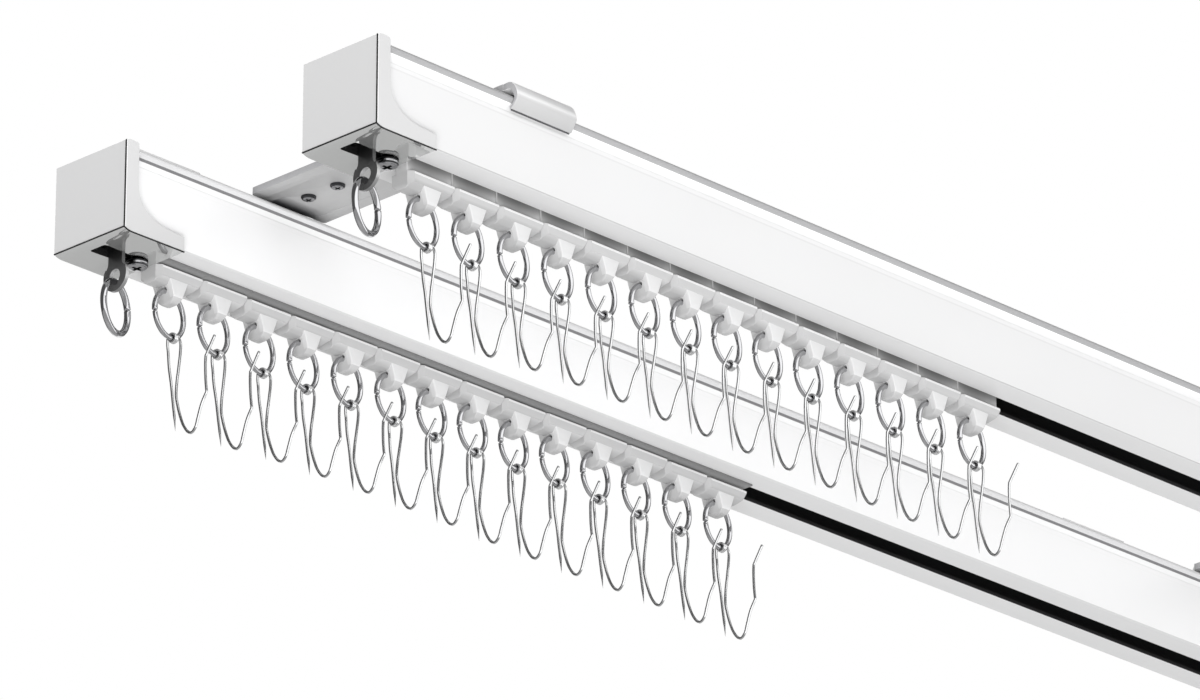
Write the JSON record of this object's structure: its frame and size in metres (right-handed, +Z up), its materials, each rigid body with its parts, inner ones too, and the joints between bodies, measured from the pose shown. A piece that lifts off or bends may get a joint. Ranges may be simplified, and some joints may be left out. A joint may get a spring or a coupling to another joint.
{
  "type": "double curtain track",
  "caption": "Double curtain track: two box-section rails on wall brackets, with end caps, eyelet stops, sliding runners, split rings and wire pleat hooks.",
  "frame": {"origin": "on the wall plane, in the middle of the four wall screw holes", "axes": "+X along the rails to the right as seen from the room, +Y into the wall, +Z up"},
  "size_m": [0.6, 0.1778, 0.122],
  "materials": {
    "rail_paint": "white powder coat, semi-gloss",
    "cap_plastic": "white moulded, glossy underside",
    "stop_steel": "dark zinc",
    "ring_chrome": "bright",
    "screw_chrome": "bright",
    "dark_screw": "blackened",
    "bracket_paint": "white powder coat",
    "spring_steel": "dark spring steel",
    "hook_wire": "bright drawn wire",
    "runner_nylon": "white nylon, slightly translucent"
  },
  "bodies": {
    "track": {"rail_front": "rail_paint", "rail_rear": "rail_paint", "cap_screws": "screw_chrome", "bracket_screws": "dark_screw", "end_cap_front_left": "cap_plastic", "stop_plate_front_left": "stop_steel", "end_cap_front_right": "cap_plastic", "stop_plate_front_right": "stop_steel", "end_cap_rear_left": "cap_plastic", "stop_plate_rear_left": "stop_steel", "end_cap_rear_right": "cap_plastic", "stop_plate_rear_right": "stop_steel", "bracket_front_arm_left": "bracket_paint", "bracket_wall_arm_left": "bracket_paint", "lock_clip_front_left": "spring_steel", "lock_clip_rear_left": "spring_steel", "bracket_front_arm_right": "bracket_paint", "bracket_wall_arm_right": "bracket_paint", "lock_clip_front_right": "spring_steel", "lock_clip_rear_right": "spring_steel"},
    "stop_ring_front_left": {"stop_ring_front_left": "ring_chrome"},
    "stop_ring_front_right": {"stop_ring_front_right": "ring_chrome"},
    "runner_front_01": {"runner_front_01": "runner_nylon"},
    "runner_ring_front_01": {"runner_ring_front_01": "ring_chrome"},
    "pleat_hook_front_01": {"pleat_hook_front_01": "hook_wire"},
    "runner_front_02": {"runner_front_02": "runner_nylon"},
    "runner_front_03": {"runner_front_03": "runner_nylon"},
    "runner_front_04": {"runner_front_04": "runner_nylon"},
    "runner_front_05": {"runner_front_05": "runner_nylon"},
    "runner_front_06": {"runner_front_06": "runner_nylon"},
    "runner_front_07": {"runner_front_07": "runner_nylon"},
    "runner_front_08": {"runner_front_08": "runner_nylon"},
    "runner_front_09": {"runner_front_09": "runner_nylon"},
    "runner_front_10": {"runner_front_10": "runner_nylon"},
    "runner_front_11": {"runner_front_11": "runner_nylon"},
    "runner_front_12": {"runner_front_12": "runner_nylon"},
    "runner_front_13": {"runner_front_13": "runner_nylon"},
    "runner_front_14": {"runner_front_14": "runner_nylon"},
    "runner_ring_front_14": {"runner_ring_front_14": "ring_chrome"},
    "pleat_hook_front_14": {"pleat_hook_front_14": "hook_wire"},
    "stop_ring_rear_left": {"stop_ring_rear_left": "ring_chrome"},
    "stop_ring_rear_right": {"stop_ring_rear_right": "ring_chrome"},
    "runner_rear_01": {"runner_rear_01": "runner_nylon"},
    "runner_ring_rear_01": {"runner_ring_rear_01": "ring_chrome"},
    "pleat_hook_rear_01": {"pleat_hook_rear_01": "hook_wire"},
    "runner_rear_02": {"runner_rear_02": "runner_nylon"},
    "runner_rear_03": {"runner_rear_03": "runner_nylon"},
    "runner_rear_04": {"runner_rear_04": "runner_nylon"},
    "runner_rear_05": {"runner_rear_05": "runner_nylon"},
    "runner_rear_06": {"runner_rear_06": "runner_nylon"},
    "runner_rear_07": {"runner_rear_07": "runner_nylon"},
    "runner_rear_08": {"runner_rear_08": "runner_nylon"},
    "runner_rear_09": {"runner_rear_09": "runner_nylon"},
    "runner_rear_10": {"runner_rear_10": "runner_nylon"},
    "runner_rear_11": {"runner_rear_11": "runner_nylon"},
    "runner_rear_12": {"runner_rear_12": "runner_nylon"},
    "runner_rear_13": {"runner_rear_13": "runner_nylon"},
    "runner_rear_14": {"runner_rear_14": "runner_nylon"},
    "runner_ring_rear_14": {"runner_ring_rear_14": "ring_chrome"},
    "pleat_hook_rear_14": {"pleat_hook_rear_14": "hook_wire"}
  },
  "joints": [
    {"name": "stop_ring_front_left_swing", "type": "hinge", "parent": "track", "child": "stop_ring_front_left", "pos_m": [-0.2884, -0.16, -0.05955], "axis": [0.9336, 0.3584, 0], "range_deg": [-45, 45]},
    {"name": "stop_ring_front_right_swing", "type": "hinge", "parent": "track", "child": "stop_ring_front_right", "pos_m": [0.2884, -0.16, -0.05955], "axis": [0.9336, -0.3584, 0], "range_deg": [-45, 45]},
    {"name": "runner_front_01_slide", "type": "slide", "parent": "track", "child": "runner_front_01", "axis": [1, 0, 0], "range_m": [0, 0.02022]},
    {"name": "runner_ring_front_01_swing", "type": "hinge", "parent": "runner_front_01", "child": "runner_ring_front_01", "pos_m": [-0.26475, -0.16, -0.0575], "axis": [0.9816, 0.1908, 0], "range_deg": [-45, 45]},
    {"name": "pleat_hook_front_01_swing", "type": "hinge", "parent": "runner_ring_front_01", "child": "pleat_hook_front_01", "pos_m": [-0.26475, -0.16, -0.0735], "axis": [0.9816, 0.1908, 0], "range_deg": [-45, 45]},
    {"name": "runner_front_02_slide", "type": "slide", "parent": "track", "child": "runner_front_02", "axis": [1, 0, 0], "range_m": [0, 0.04043]},
    {"name": "runner_front_03_slide", "type": "slide", "parent": "track", "child": "runner_front_03", "axis": [1, 0, 0], "range_m": [0, 0.06064]},
    {"name": "runner_front_04_slide", "type": "slide", "parent": "track", "child": "runner_front_04", "axis": [1, 0, 0], "range_m": [0, 0.08086]},
    {"name": "runner_front_05_slide", "type": "slide", "parent": "track", "child": "runner_front_05", "axis": [1, 0, 0], "range_m": [0, 0.10107]},
    {"name": "runner_front_06_slide", "type": "slide", "parent": "track", "child": "runner_front_06", "axis": [1, 0, 0], "range_m": [0, 0.12129]},
    {"name": "runner_front_07_slide", "type": "slide", "parent": "track", "child": "runner_front_07", "axis": [1, 0, 0], "range_m": [0, 0.1415]},
    {"name": "runner_front_08_slide", "type": "slide", "parent": "track", "child": "runner_front_08", "axis": [1, 0, 0], "range_m": [0, 0.16171]},
    {"name": "runner_front_09_slide", "type": "slide", "parent": "track", "child": "runner_front_09", "axis": [1, 0, 0], "range_m": [0, 0.18193]},
    {"name": "runner_front_10_slide", "type": "slide", "parent": "track", "child": "runner_front_10", "axis": [1, 0, 0], "range_m": [0, 0.20214]},
    {"name": "runner_front_11_slide", "type": "slide", "parent": "track", "child": "runner_front_11", "axis": [1, 0, 0], "range_m": [0, 0.22236]},
    {"name": "runner_front_12_slide", "type": "slide", "parent": "track", "child": "runner_front_12", "axis": [1, 0, 0], "range_m": [0, 0.24257]},
    {"name": "runner_front_13_slide", "type": "slide", "parent": "track", "child": "runner_front_13", "axis": [1, 0, 0], "range_m": [0, 0.26279]},
    {"name": "runner_front_14_slide", "type": "slide", "parent": "track", "child": "runner_front_14", "axis": [1, 0, 0], "range_m": [0, 0.283]},
    {"name": "runner_ring_front_14_swing", "type": "hinge", "parent": "runner_front_14", "child": "runner_ring_front_14", "pos_m": [-0.01775, -0.16, -0.0575], "axis": [0.9816, 0.1908, 0], "range_deg": [-45, 45]},
    {"name": "pleat_hook_front_14_swing", "type": "hinge", "parent": "runner_ring_front_14", "child": "pleat_hook_front_14", "pos_m": [-0.01775, -0.16, -0.0735], "axis": [0.9816, 0.1908, 0], "range_deg": [-45, 45]},
    {"name": "stop_ring_rear_left_swing", "type": "hinge", "parent": "track", "child": "stop_ring_rear_left", "pos_m": [-0.2884, -0.05, -0.05955], "axis": [0.9336, 0.3584, 0], "range_deg": [-45, 45]},
    {"name": "stop_ring_rear_right_swing", "type": "hinge", "parent": "track", "child": "stop_ring_rear_right", "pos_m": [0.2884, -0.05, -0.05955], "axis": [0.9336, -0.3584, 0], "range_deg": [-45, 45]},
    {"name": "runner_rear_01_slide", "type": "slide", "parent": "track", "child": "runner_rear_01", "axis": [1, 0, 0], "range_m": [0, 0.02029]},
    {"name": "runner_ring_rear_01_swing", "type": "hinge", "parent": "runner_rear_01", "child": "runner_ring_rear_01", "pos_m": [-0.26525, -0.05, -0.0559], "axis": [0.9816, 0.1908, 0], "range_deg": [-45, 45]},
    {"name": "pleat_hook_rear_01_swing", "type": "hinge", "parent": "runner_ring_rear_01", "child": "pleat_hook_rear_01", "pos_m": [-0.26525, -0.05, -0.0719], "axis": [0.9816, 0.1908, 0], "range_deg": [-45, 45]},
    {"name": "runner_rear_02_slide", "type": "slide", "parent": "track", "child": "runner_rear_02", "axis": [1, 0, 0], "range_m": [0, 0.04057]},
    {"name": "runner_rear_03_slide", "type": "slide", "parent": "track", "child": "runner_rear_03", "axis": [1, 0, 0], "range_m": [0, 0.06086]},
    {"name": "runner_rear_04_slide", "type": "slide", "parent": "track", "child": "runner_rear_04", "axis": [1, 0, 0], "range_m": [0, 0.08114]},
    {"name": "runner_rear_05_slide", "type": "slide", "parent": "track", "child": "runner_rear_05", "axis": [1, 0, 0], "range_m": [0, 0.10143]},
    {"name": "runner_rear_06_slide", "type": "slide", "parent": "track", "child": "runner_rear_06", "axis": [1, 0, 0], "range_m": [0, 0.12172]},
    {"name": "runner_rear_07_slide", "type": "slide", "parent": "track", "child": "runner_rear_07", "axis": [1, 0, 0], "range_m": [0, 0.142]},
    {"name": "runner_rear_08_slide", "type": "slide", "parent": "track", "child": "runner_rear_08", "axis": [1, 0, 0], "range_m": [0, 0.16229]},
    {"name": "runner_rear_09_slide", "type": "slide", "parent": "track", "child": "runner_rear_09", "axis": [1, 0, 0], "range_m": [0, 0.18257]},
    {"name": "runner_rear_10_slide", "type": "slide", "parent": "track", "child": "runner_rear_10", "axis": [1, 0, 0], "range_m": [0, 0.20286]},
    {"name": "runner_rear_11_slide", "type": "slide", "parent": "track", "child": "runner_rear_11", "axis": [1, 0, 0], "range_m": [0, 0.22314]},
    {"name": "runner_rear_12_slide", "type": "slide", "parent": "track", "child": "runner_rear_12", "axis": [1, 0, 0], "range_m": [0, 0.24343]},
    {"name": "runner_rear_13_slide", "type": "slide", "parent": "track", "child": "runner_rear_13", "axis": [1, 0, 0], "range_m": [0, 0.26371]},
    {"name": "runner_rear_14_slide", "type": "slide", "parent": "track", "child": "runner_rear_14", "axis": [1, 0, 0], "range_m": [0, 0.284]},
    {"name": "runner_ring_rear_14_swing", "type": "hinge", "parent": "runner_rear_14", "child": "runner_ring_rear_14", "pos_m": [-0.01955, -0.05, -0.0559], "axis": [0.9816, 0.1908, 0], "range_deg": [-45, 45]},
    {"name": "pleat_hook_rear_14_swing", "type": "hinge", "parent": "runner_ring_rear_14", "child": "pleat_hook_rear_14", "pos_m": [-0.01955, -0.05, -0.0719], "axis": [0.9816, 0.1908, 0], "range_deg": [-45, 45]}
  ],
  "couplings": [
    {"joint": "runner_front_01_slide", "follows": "runner_front_14_slide", "ratio": 0.071429},
    {"joint": "runner_front_02_slide", "follows": "runner_front_14_slide", "ratio": 0.14286},
    {"joint": "runner_front_03_slide", "follows": "runner_front_14_slide", "ratio": 0.21429},
    {"joint": "runner_front_04_slide", "follows": "runner_front_14_slide", "ratio": 0.28571},
    {"joint": "runner_front_05_slide", "follows": "runner_front_14_slide", "ratio": 0.35714},
    {"joint": "runner_front_06_slide", "follows": "runner_front_14_slide", "ratio": 0.42857},
    {"joint": "runner_front_07_slide", "follows": "runner_front_14_slide", "ratio": 0.5},
    {"joint": "runner_front_08_slide", "follows": "runner_front_14_slide", "ratio": 0.57143},
    {"joint": "runner_front_09_slide", "follows": "runner_front_14_slide", "ratio": 0.64286},
    {"joint": "runner_front_10_slide", "follows": "runner_front_14_slide", "ratio": 0.71429},
    {"joint": "runner_front_11_slide", "follows": "runner_front_14_slide", "ratio": 0.78571},
    {"joint": "runner_front_12_slide", "follows": "runner_front_14_slide", "ratio": 0.85714},
    {"joint": "runner_front_13_slide", "follows": "runner_front_14_slide", "ratio": 0.92857},
    {"joint": "runner_rear_01_slide", "follows": "runner_rear_14_slide", "ratio": 0.071429},
    {"joint": "runner_rear_02_slide", "follows": "runner_rear_14_slide", "ratio": 0.14286},
    {"joint": "runner_rear_03_slide", "follows": "runner_rear_14_slide", "ratio": 0.21429},
    {"joint": "runner_rear_04_slide", "follows": "runner_rear_14_slide", "ratio": 0.28571},
    {"joint": "runner_rear_05_slide", "follows": "runner_rear_14_slide", "ratio": 0.35714},
    {"joint": "runner_rear_06_slide", "follows": "runner_rear_14_slide", "ratio": 0.42857},
    {"joint": "runner_rear_07_slide", "follows": "runner_rear_14_slide", "ratio": 0.5},
    {"joint": "runner_rear_08_slide", "follows": "runner_rear_14_slide", "ratio": 0.57143},
    {"joint": "runner_rear_09_slide", "follows": "runner_rear_14_slide", "ratio": 0.64286},
    {"joint": "runner_rear_10_slide", "follows": "runner_rear_14_slide", "ratio": 0.71429},
    {"joint": "runner_rear_11_slide", "follows": "runner_rear_14_slide", "ratio": 0.78571},
    {"joint": "runner_rear_12_slide", "follows": "runner_rear_14_slide", "ratio": 0.85714},
    {"joint": "runner_rear_13_slide", "follows": "runner_rear_14_slide", "ratio": 0.92857}
  ]
}
